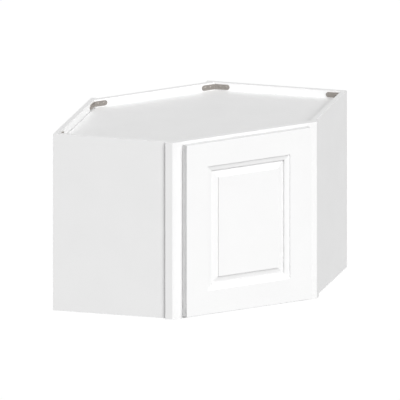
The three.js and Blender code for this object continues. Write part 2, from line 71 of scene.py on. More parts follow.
MM = 0.001
FULL_TURN = 2 * math.pi
QUARTER_TURN = math.pi / 2
SAME_POINT = 0.002 * MM
NOISE_MEAN = 0.5
ORIGIN = Vector((0.0, 0.0, 0.0))
X_AXIS, Y_AXIS, Z_AXIS = (Vector(row) for row in Matrix.Identity(3))
Colour = tuple[float, float, float]
Span = tuple[float, float]
Members = tuple[tuple[str, Vector], ...]  # name of each stile and rail, and its grain


class Slot(Enum):
    """Material slots of the record."""

    WHITE_PAINT = "white_paint"
    WHITE_BOARD = "white_board"
    ZINC = "zinc"
    NICKEL = "nickel"
    CLEAR_RUBBER = "clear_rubber"


class Body(Enum):
    """Bodies of the construction model."""

    CABINET = "cabinet"
    DOOR = "door"


class Wall(Enum):
    """The two walls of the room corner. A wall's own X runs along it from the corner."""

    LEFT = "left"
    RIGHT = "right"

    @property
    def angle(self) -> float:
        """Heading of the wall's X axis."""
        return -3 * math.pi / 4 if self is Wall.LEFT else -math.pi / 4

    @property
    def hand(self) -> int:
        """1 where the room lies on the +Y side of the wall's X axis, and -1 where on the other."""
        return 1 if self is Wall.LEFT else -1


# Shader nodes


class Value:
    """A number that varies over a surface; Python's operators add Math nodes to its graph."""

    def __init__(self, graph: "Graph", socket: bpy.types.NodeSocket) -> None:
        self.graph = graph
        self.socket = socket

    def _math(self, operation: str, first: "Value | float", second: "Value | float") -> "Value":
        """One Math node on two numbers."""
        settings = {"operation": operation}
        node = self.graph.node("ShaderNodeMath", settings, {0: first, 1: second})
        return Value(self.graph, node.outputs[0])

    def __add__(self, other: "Value | float") -> "Value":
        """Sum."""
        return self._math("ADD", self, other)

    __radd__ = __add__

    def __sub__(self, other: "Value | float") -> "Value":
        """Difference."""
        return self._math("SUBTRACT", self, other)

    def __rsub__(self, other: float) -> "Value":
        """Difference from a plain number."""
        return self._math("SUBTRACT", other, self)

    def __mul__(self, other: "Value | float") -> "Value":
        """Product."""
        return self._math("MULTIPLY", self, other)

    __rmul__ = __mul__

    def __truediv__(self, other: "Value | float") -> "Value":
        """Quotient."""
        return self._math("DIVIDE", self, other)

    def at_least(self, other: "Value | float") -> "Value":
        """The larger of two numbers."""
        return self._math("MAXIMUM", self, other)

    def at_most(self, other: "Value | float") -> "Value":
        """The smaller of two numbers."""
        return self._math("MINIMUM", self, other)

    def ramp(self, low: float, high: float) -> "Value":
        """Rises from 0 at one number to 1 at another, and stays there."""
        return ((self - low) / (high - low)).at_least(0.0).at_most(1.0)


class Graph:
    """The node graph of one material or of the world."""

    def __init__(self, owner: bpy.types.Material | bpy.types.World) -> None:
        owner.use_nodes = True
        self.owner = owner
        self.tree = owner.node_tree
        self.tree.nodes.clear()

    def node(
        self,
        kind: str,
        settings: dict[str, object] | None = None,
        inputs: dict[str | int, object] | None = None,
    ) -> bpy.types.Node:
        """Adds a node.

        Args:
            kind: The node's type.
            settings: Its own properties, set before its sockets.
            inputs: A number, colour, Value or socket for each named or numbered input.

        Returns:
            The new node.
        """
        node = self.tree.nodes.new(kind)
        for name, setting in (settings or {}).items():
            setattr(node, name, setting)
        for key, given in (inputs or {}).items():
            source = given.socket if isinstance(given, Value) else given
            if isinstance(source, bpy.types.NodeSocket):
                self.tree.links.new(source, node.inputs[key])
            else:
                node.inputs[key].default_value = source
        return node

    def noise(self, size: float, detail: float, stretch: float = 1.0) -> Value:
        """Noise on Object coordinates.

        Args:
            size: Size of one patch of noise, in metres.
            detail: Finer layers of noise on top.
            stretch: How much longer the patches are along Z.

        Returns:
            The noise, about NOISE_MEAN on average.
        """
        coordinates = self.node("ShaderNodeTexCoord").outputs["Object"]
        scale = (1.0, 1.0, 1.0 / stretch)
        placed = self.node("ShaderNodeMapping", None, {"Vector": coordinates, "Scale": scale})
        inputs = {"Vector": placed.outputs[0], "Scale": 1.0 / size, "Detail": detail}
        return Value(self, self.node("ShaderNodeTexNoise", None, inputs).outputs["Fac"])

    def crystals(self, size: float) -> Value:
        """Flat patches with sharp borders, each with a number of its own."""
        coordinates = self.node("ShaderNodeTexCoord").outputs["Object"]
        inputs = {"Vector": coordinates, "Scale": 1.0 / size}
        cells = self.node("ShaderNodeTexVoronoi", {"feature": "F1"}, inputs)
        parts = self.node("ShaderNodeSeparateColor", None, {0: cells.outputs["Color"]})
        return Value(self, parts.outputs[0])

    def blend(self, share: Value, first: Colour, second: Colour) -> bpy.types.NodeSocket:
        """Colour between two others."""
        inputs = {"Factor": share, 6: (*first, 1.0), 7: (*second, 1.0)}
        return self.node("ShaderNodeMix", {"data_type": "RGBA"}, inputs).outputs[2]

    def bump(self, height: Value, depth: float) -> bpy.types.NodeSocket:
        """Normal of a surface that rises by a depth, in metres, where the height is 1."""
        inputs = {"Height": height, "Distance": depth, "Strength": 1.0}
        return self.node("ShaderNodeBump", None, inputs).outputs[0]

    def surface(self, inputs: dict[str, object]) -> bpy.types.Material:
        """Ends the graph in the standard surface shader and hands over its material."""
        shader = self.node("ShaderNodeBsdfPrincipled", None, inputs)
        self.node("ShaderNodeOutputMaterial", None, {"Surface": shader.outputs[0]})
        return self.owner


# Finishes


@dataclass(frozen=True)
class SprayedPaint:
    """Satin paint, sprayed and baked: a faint orange peel and a sheen that drifts a little."""

    name: str = "Sprayed white paint"
    slot: Slot = Slot.WHITE_PAINT
    pale: Colour = (0.925, 0.925, 0.925)
    deep: Colour = (0.91, 0.91, 0.91)
    sheen: float = 0.48
    sheen_drift: float = 0.1
    peel_size: float = 2.2 * MM
    peel_depth: float = 0.012 * MM
    speck_size: float = 0.35 * MM
    speck_depth: float = 0.002 * MM
    cloud_size: float = 90 * MM
    cloud_span: Span = (0.3, 0.7)
    gloss: float = 0.2

    def material(self) -> bpy.types.Material:
        """The paint's material."""
        graph = Graph(bpy.data.materials.new(self.name))
        cloud = graph.noise(self.cloud_size, detail=3.0)
        peel = graph.noise(self.peel_size, detail=1.0)
        speck = graph.noise(self.speck_size, detail=0.0)
        relief = peel + speck * (self.speck_depth / self.peel_depth)
        return graph.surface({
            "Base Color": graph.blend(cloud.ramp(*self.cloud_span), self.pale, self.deep),
            "Roughness": self.sheen + (cloud - NOISE_MEAN) * self.sheen_drift,
            "Specular IOR Level": self.gloss,
            "Normal": graph.bump(relief, self.peel_depth),
        })


@dataclass(frozen=True)
class FacedBoard:
    """White paper-faced board: a fine leathery print and rare paler and darker specks."""

    name: str = "White faced board"
    slot: Slot = Slot.WHITE_BOARD
    pale: Colour = (0.915, 0.915, 0.915)
    deep: Colour = (0.895, 0.895, 0.895)
    sheen: float = 0.55
    sheen_drift: float = 0.12
    print_size: float = 0.7 * MM
    print_depth: float = 0.006 * MM
    cloud_size: float = 60 * MM
    cloud_share: float = 0.6
    tone_span: Span = (0.35, 0.65)
    gloss: float = 0.2

    def material(self) -> bpy.types.Material:
        """The board's material."""
        graph = Graph(bpy.data.materials.new(self.name))
        cloud = graph.noise(self.cloud_size, detail=4.0)
        leather = graph.noise(self.print_size, detail=2.0)
        tone = cloud * self.cloud_share + leather * (1 - self.cloud_share)
        return graph.surface({
            "Base Color": graph.blend(tone.ramp(*self.tone_span), self.pale, self.deep),
            "Roughness": self.sheen + (leather - NOISE_MEAN) * self.sheen_drift,
            "Specular IOR Level": self.gloss,
            "Normal": graph.bump(leather, self.print_depth),
        })


@dataclass(frozen=True)
class PlatedSteel:
    """Plated sheet steel: small crystals of plate, fine rolling lines and a dull haze."""

    name: str
    slot: Slot
    pale: Colour
    deep: Colour
    roughness: float
    crystal_size: float
    roughness_drift: float = 0.25
    haze_crystals: float = 6.0
    crystal_share: float = 0.5
    tone_span: Span = (0.2, 0.8)
    line_width: float = 0.15 * MM
    line_stretch: float = 30.0
    line_depth: float = 0.003 * MM

    def material(self) -> bpy.types.Material:
        """The plate's material."""
        graph = Graph(bpy.data.materials.new(self.name))
        crystals = graph.crystals(self.crystal_size)
        haze = graph.noise(self.haze_crystals * self.crystal_size, detail=3.0)
        lines = graph.noise(self.line_width, detail=1.0, stretch=self.line_stretch)
        tone = crystals * self.crystal_share + haze * (1 - self.crystal_share)
        return graph.surface({
            "Base Color": graph.blend(tone.ramp(*self.tone_span), self.pale, self.deep),
            "Metallic": 1.0,
            "Roughness": self.roughness + (haze - NOISE_MEAN) * self.roughness_drift,
            "Normal": graph.bump(lines, self.line_depth),
        })


@dataclass(frozen=True)
class MilkyRubber:
    """Soft milky rubber that lets some light in."""

    name: str = "Milky rubber"
    slot: Slot = Slot.CLEAR_RUBBER
    pale: Colour = (0.86, 0.86, 0.84)
    deep: Colour = (0.8, 0.8, 0.77)
    roughness: float = 0.45
    roughness_rise: float = 0.1
    haze_size: float = 2 * MM
    haze_span: Span = (0.3, 0.7)
    haze_depth: float = 0.01 * MM
    scatter: float = 0.4
    scatter_reach: float = 1.5 * MM

    def material(self) -> bpy.types.Material:
        """The rubber's material."""
        graph = Graph(bpy.data.materials.new(self.name))
        haze = graph.noise(self.haze_size, detail=2.0)
        return graph.surface({
            "Base Color": graph.blend(haze.ramp(*self.haze_span), self.pale, self.deep),
            "Roughness": self.roughness + haze * self.roughness_rise,
            "Subsurface Weight": self.scatter,
            "Subsurface Scale": self.scatter_reach,
            "Normal": graph.bump(haze, self.haze_depth),
        })


class Finishes:
    """Each finish of the cabinet and its one material."""

    def __init__(self) -> None:
        zinc = PlatedSteel(
            name="Zinc plated steel",
            slot=Slot.ZINC,
            pale=(0.43, 0.4, 0.375),
            deep=(0.35, 0.325, 0.3),
            roughness=0.42,
            crystal_size=1.1 * MM,
        )
        nickel = PlatedSteel(
            name="Nickel plated steel",
            slot=Slot.NICKEL,
            pale=(0.66, 0.645, 0.615),
            deep=(0.58, 0.565, 0.535),
            roughness=0.27,
            crystal_size=0.6 * MM,
        )
        kinds = (SprayedPaint(), FacedBoard(), zinc, nickel, MilkyRubber())
        self._materials = {kind.slot: kind.material() for kind in kinds}

    def material(self, slot: Slot) -> bpy.types.Material:
        """Material of one slot."""
        return self._materials[slot]


# Bench work: the operations that several pieces share


def node_points(node: str) -> list[Vector]:
    """Corner points of a construction node."""
    return [vertex.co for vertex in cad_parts[node].data.vertices]


def turned_box(node: str, angle: float) -> tuple[Vector, Vector]:
    """Box of a construction node in a frame that is turned about the upright axis.

    Args:
        node: The node's name.
        angle: The frame's turn from the cabinet's own.

    Returns:
        Its lowest and highest corners in that frame.
    """
    turn = Matrix.Rotation(-angle, 3, "Z")
    axes = list(zip(*(turn @ point for point in node_points(node))))
    return Vector(map(min, axes)), Vector(map(max, axes))


def merged_copy(node: str) -> bmesh.types.BMesh:
    """Copy of a construction node's mesh, its loose triangles merged into whole faces."""
    shape = bmesh.new()
    shape.from_mesh(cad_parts[node].data)
    bmesh.ops.remove_doubles(shape, verts=shape.verts, dist=SAME_POINT)
    flat = math.radians(0.5)
    bmesh.ops.dissolve_limit(shape, angle_limit=flat, verts=shape.verts, edges=shape.edges)
    return shape


def turning(profile: Sequence[tuple[float, float]], steps: int) -> bmesh.types.BMesh:
    """Solid turned about the Z axis, as on a lathe.

    Args:
        profile: Radius and height of each point of the outline, from the axis and back to it.
        steps: Facets round the axis.

    Returns:
        The closed shape.
    """
    shape = bmesh.new()
    points = [shape.verts.new((radius, 0.0, height)) for radius, height in profile]
    edges = [shape.edges.new(pair) for pair in zip(points, points[1:])]
    bmesh.ops.spin(
        shape,
        geom=points + edges,
        cent=ORIGIN,
        axis=Z_AXIS,
        angle=FULL_TURN,
        steps=steps,
        use_merge=True,
    )
    bmesh.ops.remove_doubles(shape, verts=shape.verts, dist=SAME_POINT)
    bmesh.ops.recalc_face_normals(shape, faces=shape.faces)
    return shape


def crown(radius: float, rim: float, height: float, steps: int) -> list[tuple[float, float]]:
    """Profile of a domed top, from the upper end of its upright rim to the axis.

    Args:
        radius: Its radius.
        rim: Height of the upright rim.
        height: Full height, at the axis.
        steps: Steps of the curve.

    Returns:
        Radius and height of each point.
    """
    profile = []
    for step in range(steps + 1):
        swing = QUARTER_TURN * step / steps
        rise = (height - rim) * math.sin(swing)
        profile.append((max(radius * math.cos(swing), 0.0), rim + rise))
    return profile


def slab(low: Sequence[float], high: Sequence[float]) -> bmesh.types.BMesh:
    """Rectangular blank between two corners."""
    shape = bmesh.new()
    size = Vector(high) - Vector(low)
    place = Matrix.Translation((Vector(low) + Vector(high)) / 2) @ Matrix.Diagonal((*size, 1.0))
    bmesh.ops.create_cube(shape, size=1.0, matrix=place)
    return shape


def rod(
    start: Sequence[float], end: Sequence[float], radius: float, facets: int
) -> bmesh.types.BMesh:
    """Round bar between two points."""
    shape = bmesh.new()
    span = Vector(end) - Vector(start)
    middle = Matrix.Translation((Vector(start) + Vector(end)) / 2)
    bmesh.ops.create_cone(
        shape,
        cap_ends=True,
        segments=facets,
        radius1=radius,
        radius2=radius,
        depth=span.length,
        matrix=middle @ span.to_track_quat("Z", "Y").to_matrix().to_4x4(),
    )
    return shape


@dataclass(frozen=True)
class Easing:
    """How far an edge is rounded, and in how many steps."""

    radius: float
    segments: int = 3


def round_edges(
    shape: bmesh.types.BMesh, edges: Iterable[bmesh.types.BMEdge], easing: Easing
) -> None:
    """Rounds edges to a radius, which narrow faces may hold back."""
    bmesh.ops.bevel(
        shape,
        geom=list(edges),
        offset=easing.radius,
        offset_type="OFFSET",
        segments=easing.segments,
        profile=0.5,
        affect="EDGES",
        clamp_overlap=True,
        material=-1,
    )


def sharp_edges(
    shape: bmesh.types.BMesh, least: float = math.radians(40), shortest: float = 0.0
) -> list[bmesh.types.BMEdge]:
    """Edges, from a length upwards, where two faces meet at more than an angle."""
    sharp = [edge for edge in shape.edges if edge.calc_face_angle(0.0) > least]
    return [edge for edge in sharp if edge.calc_length() >= shortest]


def edges_along(
    edges: Iterable[bmesh.types.BMEdge], axis: Vector
) -> list[bmesh.types.BMEdge]:
    """Those of some edges that run along an axis."""
    nearly_one = 0.999
    found = []
    for edge in edges:
        run = (edge.verts[1].co - edge.verts[0].co).normalized()
        if abs(run.dot(axis)) > nearly_one:
            found.append(edge)
    return found


def mesh_of(shape: bmesh.types.BMesh, name: str) -> bpy.types.Mesh:
    """Mesh of a shape, which is used up."""
    mesh = bpy.data.meshes.new(name)
    shape.to_mesh(mesh)
    shape.free()
    return mesh


def put_in_scene(name: str, data: bpy.types.ID) -> bpy.types.Object:
    """New object of a mesh, lamp or camera."""
    made = bpy.data.objects.new(name, data)
    bpy.context.scene.collection.objects.link(made)
    return made


def add_shape(shape: bmesh.types.BMesh, other: bmesh.types.BMesh) -> None:
    """Adds another shape, which is used up."""
    carrier = mesh_of(other, "carrier")
    shape.from_mesh(carrier)
    bpy.data.meshes.remove(carrier)


def carved(shape: bmesh.types.BMesh, cutters: Sequence[bmesh.types.BMesh]) -> bmesh.types.BMesh:
    """Cuts shapes out of another.

    Args:
        shape: The shape that is cut; it is used up.
        cutters: The closed shapes to take away; they are used up.

    Returns:
        What is left, as a new shape.
    """
    objects = [put_in_scene("blank", mesh_of(blank, "blank")) for blank in (shape, *cutters)]
    target = objects[0]
    for cutter in objects[1:]:
        cut = target.modifiers.new("cut", "BOOLEAN")
        cut.operation = "DIFFERENCE"
        cut.solver = "EXACT"
        cut.object = cutter
    graph = bpy.context.evaluated_depsgraph_get()
    left = bmesh.new()
    left.from_mesh(target.evaluated_get(graph).to_mesh())
    target.evaluated_get(graph).to_mesh_clear()
    for used in objects:
        mesh = used.data
        bpy.data.objects.remove(used)
        bpy.data.meshes.remove(mesh)
    bmesh.ops.remove_doubles(left, verts=left.verts, dist=SAME_POINT)
    return left


@dataclass(frozen=True)
class Bench:
    """Turns shapes into finished pieces of the cabinet."""

    finishes: Finishes

    def finish(
        self,
        shape: bmesh.types.BMesh,
        name: str,
        body: Body,
        slot: Slot,
        nodes: Sequence[str],
        crease: float = math.radians(35),
    ) -> None:
        """Makes a piece of a shape, gives it its finish and joins it to its body.

        Args:
            shape: The shape in the cabinet's frame; it is used up.
            name: The piece's name.
            body: The body that it moves with.
            slot: The slot of its finish.
            nodes: The construction nodes that it stands for.
            crease: Angle between two faces from which their edge looks crisp.
        """
        mesh = mesh_of(shape, name)
        mesh.polygons.foreach_set("use_smooth", [True] * len(mesh.polygons))
        mesh.set_sharp_from_angle(angle=crease)
        mesh.materials.append(self.finishes.material(slot))
        piece = put_in_scene(name, mesh)
        even = piece.modifiers.new("Even shading", "WEIGHTED_NORMAL")
        even.keep_sharp = True
        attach(piece, body.value)
        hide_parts(*nodes)
        log.info("%s: %d faces, on the %s", name, len(mesh.polygons), body.value)


@dataclass(frozen=True)
class FrameJoints:
    """Where the rails of a square frame butt against its stiles.

    The box is the whole frame's, and all members are of one width.
    """

    low: Vector
    high: Vector
    member_width: float

    @classmethod
    def of_nodes(cls, nodes: Sequence[str], member_width: float) -> "FrameJoints":
        """The joints of the frame that some construction nodes make up."""
        lows, highs = zip(*(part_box(node) for node in nodes))
        return cls(Vector(map(min, zip(*lows))), Vector(map(max, zip(*highs))), member_width)

    def split(self, shape: bmesh.types.BMesh, grain: Vector, margins: Sequence[float]) -> None:
        """Parts a stile's long edges near the rails, so that they can be eased between them only.

        Args:
            shape: The member.
            grain: The direction along it; a rail is left as it is.
            margins: How far from the frame's ends its edges are parted.
        """
        if not grain.z:
            return
        heights = [z for margin in margins for z in (self.low.z + margin, self.high.z - margin)]
        for height in heights:
            bmesh.ops.bisect_plane(
                shape,
                geom=[*shape.verts, *shape.edges, *shape.faces],
                dist=SAME_POINT,
                plane_co=(0.0, 0.0, height),
                plane_no=Z_AXIS,
            )

    def margin(self, point: Vector, axis: int) -> float:
        """How far a point lies within the frame's box along one axis."""
        return min(point[axis] - self.low[axis], self.high[axis] - point[axis])

    def inside(self, edge: bmesh.types.BMEdge, grain: Vector) -> bool:
        """Whether an edge along the grain faces the opening and lies clear of the joints."""
        along, across = (2, 0) if grain.z else (0, 2)
        middle = (edge.verts[0].co + edge.verts[1].co) / 2
        width = min(self.member_width, self.margin(middle, across))
        return width > self.member_width / 2 and self.margin(middle, along) > width - SAME_POINT

    def on_rim(self, edge: bmesh.types.BMEdge, face: float) -> bool:
        """Whether an edge lies on the outline of the frame's front or back, given by its Y."""
        points = [vertex.co for vertex in edge.verts]
        if any(abs(point.y - face) > SAME_POINT for point in points):
            return False
        margins = (max(self.margin(point, axis) for point in points) for axis in (0, 2))
        return min(margins) < SAME_POINT


# Case and face frame


@dataclass(frozen=True)
class CaseShell:
    """Side panels, back panels, and the top and bottom panels housed between them."""

    bench: Bench
    easing: Easing = Easing(0.4 * MM, segments=2)
    end_depth: float = 1 * MM
    gap_width: float = 3 * MM
    gap_depth: float = 6 * MM

    def build(self) -> None:
        """Makes the case's seven boards."""
        for wall in Wall:
            self._upright_board(f"{wall.value}_side_panel", f"{wall.value}_side_board")
            self._upright_board(f"{wall.value}_back_panel", f"{wall.value}_back_board")
        self._upright_board("corner_back_panel", "corner_back_board")
        for end in ("top", "bottom"):
            node = f"{end}_panel"
            shape = merged_copy(node)
            if end == "top":
                shape = carved(shape, [self._joint_gap()])
            self.bench.finish(shape, f"{end}_deck", Body.CABINET, Slot.WHITE_BOARD, [node])

    def _joint_gap(self) -> bmesh.types.BMesh:
        """The open joint between the top panel and the left back panel."""
        low, high = turned_box("left_back_panel", Wall.LEFT.angle)
        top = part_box("top_panel")[1].z
        gap = slab(
            (low.x, high.y, top - self.gap_depth),
            (high.x, high.y + self.gap_width, top + self.gap_depth),
        )
        gap.transform(Matrix.Rotation(Wall.LEFT.angle, 4, "Z"))
        return gap

    def _upright_board(self, node: str, name: str) -> None:
        """A board with its end and full-height edges eased, and its housings left crisp."""
        shape = merged_copy(node)
        low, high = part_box(node)
        eased = []
        for edge in sharp_edges(shape, shortest=self.end_depth):
            heights = [vertex.co.z for vertex in edge.verts]
            at_foot = max(heights) < low.z + self.end_depth
            at_head = min(heights) > high.z - self.end_depth
            full_height = max(heights) - min(heights) > high.z - low.z - self.end_depth
            if at_foot or at_head or full_height:
                eased.append(edge)
        round_edges(shape, eased, self.easing)
        self.bench.finish(shape, name, Body.CABINET, Slot.WHITE_PAINT, [node])


@dataclass(frozen=True)
class FaceFrame:
    """Two bevelled stiles with the rails tenoned between them, painted as one."""

    bench: Bench
    easing: Easing = Easing(0.5 * MM)
    rail_width: float = 38.1 * MM
    outer_part: float = 45 * MM
    members: Members = (
        ("left_stile", Z_AXIS),
        ("right_stile", Z_AXIS),
        ("bottom_rail", X_AXIS),
        ("top_rail", X_AXIS),
    )

    def build(self) -> None:
        """Makes the frame's four members."""
        nodes = [f"frame_{member}" for member, _ in self.members]
        joints = FrameJoints.of_nodes(nodes, self.rail_width)
        for member, grain in self.members:
            self._member(member, grain, joints)

    def _member(self, member: str, grain: Vector, joints: FrameJoints) -> None:
        """A stile or rail, its edges eased along the grain and clear of the joints."""
        node = f"frame_{member}"
        shape = merged_copy(node)
        joints.split(shape, grain, (self.rail_width,))
        edges = edges_along(sharp_edges(shape), grain)
        if grain.z:
            outer = joints.high.x - self.outer_part
            edges = [
                edge
                for edge in edges
                if joints.inside(edge, grain) or abs(edge.verts[0].co.x) > outer
            ]
        round_edges(shape, edges, self.easing)
        self.bench.finish(shape, f"face_{member}", Body.CABINET, Slot.WHITE_PAINT, [node])


# Door


@dataclass(frozen=True)
class RaisedPanelDoor:
    """Coped stiles and rails round a raised panel, with two bumpers on its back.

    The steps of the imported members' moulding lie at moulding_cuts behind the door's face, and
    they are moved to deeper_cuts.
    """

    bench: Bench
    front_rim: Easing = Easing(0.9 * MM, segments=5)
    back_rim: Easing = Easing(0.3 * MM, segments=5)
    foot_clearance: float = 0.8 * MM
    member_width: float = 74.7 * MM
    members: Members = (
        ("hinge_stile", Z_AXIS),
        ("free_stile", Z_AXIS),
        ("bottom_rail", X_AXIS),
        ("top_rail", X_AXIS),
    )
    moulding_easing: Easing = Easing(0.3 * MM)
    least_corner: float = math.radians(12)
    moulding_width: float = 13.4 * MM
    moulding_cuts: tuple[float, ...] = (0.0, 2.2 * MM, 5.6 * MM, 9.2 * MM)
    deeper_cuts: tuple[float, ...] = (0.0, 3.1 * MM, 6.3 * MM, 9.2 * MM)
    panel_entry: float = 8 * MM
    panel_bevel_run: float = 18.8 * MM
    panel_shoulder_run: float = 0.4 * MM
    panel_shoulder_rise: float = 3.8 * MM
    panel_tongue: float = 6 * MM
    panel_quirk_width: float = 2 * MM
    panel_quirk_depth: float = 3.6 * MM
    panel_bevel_sink: float = 2.2 * MM
    panel_easing: Easing = Easing(0.12 * MM)
    panel_crease: float = math.radians(8)
    bumper_radius: float = 5 * MM
    bumper_rim: float = 1.1 * MM
    bumper_steps: int = 10
    bumper_facets: int = 40

    def build(self) -> None:
        """Makes the door's members, panel and bumpers."""
        nodes = [f"door_{member}" for member, _ in self.members]
        joints = FrameJoints.of_nodes(nodes, self.member_width)
        for member, grain in self.members:
            self._member(member, grain, joints)
        self._raised_panel()
        for end in ("lower", "upper"):
            self._bumper(f"{end}_door_bumper", f"{end}_bumper_dome")

    def _member(self, member: str, grain: Vector, joints: FrameJoints) -> None:
        """A moulded stile or rail, the door's rim rounded and the moulding softened by paint."""
        node = f"door_{member}"
        shape = merged_copy(node)
        joints.split(shape, grain, (self.member_width, self.member_width - self.moulding_width))
        self._deepen(shape, joints, grain)
        for face, easing in ((joints.low.y, self.front_rim), (joints.high.y, self.back_rim)):
            rim = [edge for edge in sharp_edges(shape) if joints.on_rim(edge, face)]
            round_edges(shape, rim, easing)
        foot_top = joints.low.z + 2 * self.front_rim.radius
        foot = [vertex for vertex in shape.verts if vertex.co.z < foot_top]
        bmesh.ops.translate(shape, verts=foot, vec=(0.0, 0.0, self.foot_clearance))
        mouldings = edges_along(sharp_edges(shape, self.least_corner), grain)
        soft = [edge for edge in mouldings if joints.inside(edge, grain)]
        round_edges(shape, soft, self.moulding_easing)
        self.bench.finish(shape, f"moulded_{member}", Body.DOOR, Slot.WHITE_PAINT, [node])

    def _deepen(self, shape: bmesh.types.BMesh, joints: FrameJoints, grain: Vector) -> None:
        """Cuts a member's moulding and coping deeper, but neither its face nor its groove."""
        cuts = list(zip(self.moulding_cuts, self.deeper_cuts))
        plain_width = self.member_width - self.moulding_width - SAME_POINT
        for vertex in shape.verts:
            if grain.z and joints.margin(vertex.co, 0) < plain_width:
                continue
            depth = vertex.co.y - joints.low.y
            for (start, new_start), (end, new_end) in zip(cuts, cuts[1:]):
                if start < depth < end:
                    share = (depth - start) / (end - start)
                    vertex.co.y = joints.low.y + new_start + share * (new_end - new_start)
                    break

    def _raised_panel(self) -> None:
        """The panel, its front drawn up in a tongue, a quirk, a bevel, a shoulder and a field."""
        low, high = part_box("door_raised_panel")
        tongue_front = high.y - self.panel_tongue
        bevel_rise = tongue_front - low.y - self.panel_shoulder_rise
        slant = self.panel_easing.radius
        shape = slab((low.x, tongue_front, low.z), high)
        front = min(shape.faces, key=lambda face: face.calc_center_median().y)
        steps = (
            (self.panel_entry, 0.0),
            (slant, -self.panel_quirk_depth),
            (self.panel_quirk_width - 2 * slant, 0.0),
            (slant, self.panel_quirk_depth - self.panel_bevel_sink),
            (self.panel_bevel_run - self.panel_quirk_width, bevel_rise + self.panel_bevel_sink),
            (self.panel_shoulder_run, self.panel_shoulder_rise),
        )
        for run, rise in steps:
            bmesh.ops.inset_region(shape, faces=[front], thickness=run, use_even_offset=True)
            bmesh.ops.translate(shape, verts=front.verts, vec=(0.0, -rise, 0.0))
        moulded = [
            edge
            for edge in sharp_edges(shape, self.panel_crease)
            if max(vertex.co.y for vertex in edge.verts) < tongue_front - SAME_POINT
        ]
        round_edges(shape, moulded, self.panel_easing)
        self.bench.finish(
            shape,
            "raised_panel",
            Body.DOOR,
            Slot.WHITE_PAINT,
            ["door_raised_panel"],
            self.panel_crease,
        )

    def _bumper(self, node: str, name: str) -> None:
        """A stuck-on dome that keeps the door off the face frame."""
        low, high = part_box(node)
        middle = (low + high) / 2
        dome = crown(self.bumper_radius, self.bumper_rim, high.y - low.y, self.bumper_steps)
        shape = turning([(0.0, 0.0), (self.bumper_radius, 0.0), *dome], self.bumper_facets)
        place = Matrix.Translation((middle.x, low.y, middle.z))
        shape.transform(place @ Matrix.Rotation(-QUARTER_TURN, 4, "X"))
        self.bench.finish(shape, name, Body.DOOR, Slot.CLEAR_RUBBER, [node])


# Hardware


@dataclass(frozen=True)
class Screw:
    """Pan head screw with a crossed recess and a rolled thread; its point is at -Z.

    The recess tapers to shares of its length and width. The thread's root is a share of the
    core's radius, and its width is a share of the pitch.
    """

    head_radius: float = 3.2 * MM
    head_height: float = 1 * MM
    head_rim: float = 0.35 * MM
    length: float = 11 * MM
    core_radius: float = 1.1 * MM
    thread_radius: float = 1.48 * MM
    pitch: float = 1.1 * MM
    plain_shank: float = 1.5 * MM
    point_length: float = 3 * MM
    recess_width: float = 0.9 * MM
    recess_length: float = 3.6 * MM
    recess_depth: float = 0.65 * MM
    recess_taper: tuple[float, float] = (0.45, 0.8)
    thread_root: float = 0.9
    thread_width: float = 0.4
    thread_steps: int = 12
    head_steps: int = 8
    facets: int = 28

    def shape(self) -> bmesh.types.BMesh:
        """The screw with its head's underside at the origin."""
        profile = [
            (0.0, -self.length),
            (self.core_radius, self.point_length - self.length),
            (self.core_radius, -self.plain_shank),
            (self.thread_radius, -self.plain_shank),
            (self.thread_radius, 0.0),
            (self.head_radius, 0.0),
            *crown(self.head_radius, self.head_rim, self.head_height, self.head_steps),
        ]
        cross = [self._recess(angle) for angle in (0.0, QUARTER_TURN)]
        screw = carved(turning(profile, self.facets), cross)
        add_shape(screw, self._thread())
        return screw

    def _recess(self, angle: float) -> bmesh.types.BMesh:
        """One tapered slot of the cross."""
        corner = Vector((self.recess_length / 2, self.recess_width / 2, self.recess_depth))
        slot = slab(-corner, corner)
        slot.transform(Matrix.Translation((0.0, 0.0, self.head_height)))
        floor = [vertex for vertex in slot.verts if vertex.co.z < self.head_height]
        bmesh.ops.scale(slot, verts=floor, vec=(*self.recess_taper, 1.0))
        slot.transform(Matrix.Rotation(angle, 4, "Z"))
        return slot

    def _thread(self) -> bmesh.types.BMesh:
        """A rising ridge wound round the core."""
        shape = bmesh.new()
        low = self.point_length - self.length
        turns = (-self.plain_shank - self.pitch / 2 - low) / self.pitch
        root = self.core_radius * self.thread_root
        width = self.pitch * self.thread_width
        corners = ((root, low), (self.thread_radius, low + width / 2), (root, low + width))
        section = [shape.verts.new((radius, 0.0, height)) for radius, height in corners]
        face = shape.faces.new(section)
        bmesh.ops.spin(
            shape,
            geom=[face, *face.edges, *face.verts],
            cent=ORIGIN,
            axis=Z_AXIS,
            dvec=(0.0, 0.0, self.pitch / self.thread_steps),
            angle=FULL_TURN * turns,
            steps=round(self.thread_steps * turns),
        )
        bmesh.ops.recalc_face_normals(shape, faces=shape.faces)
        return shape


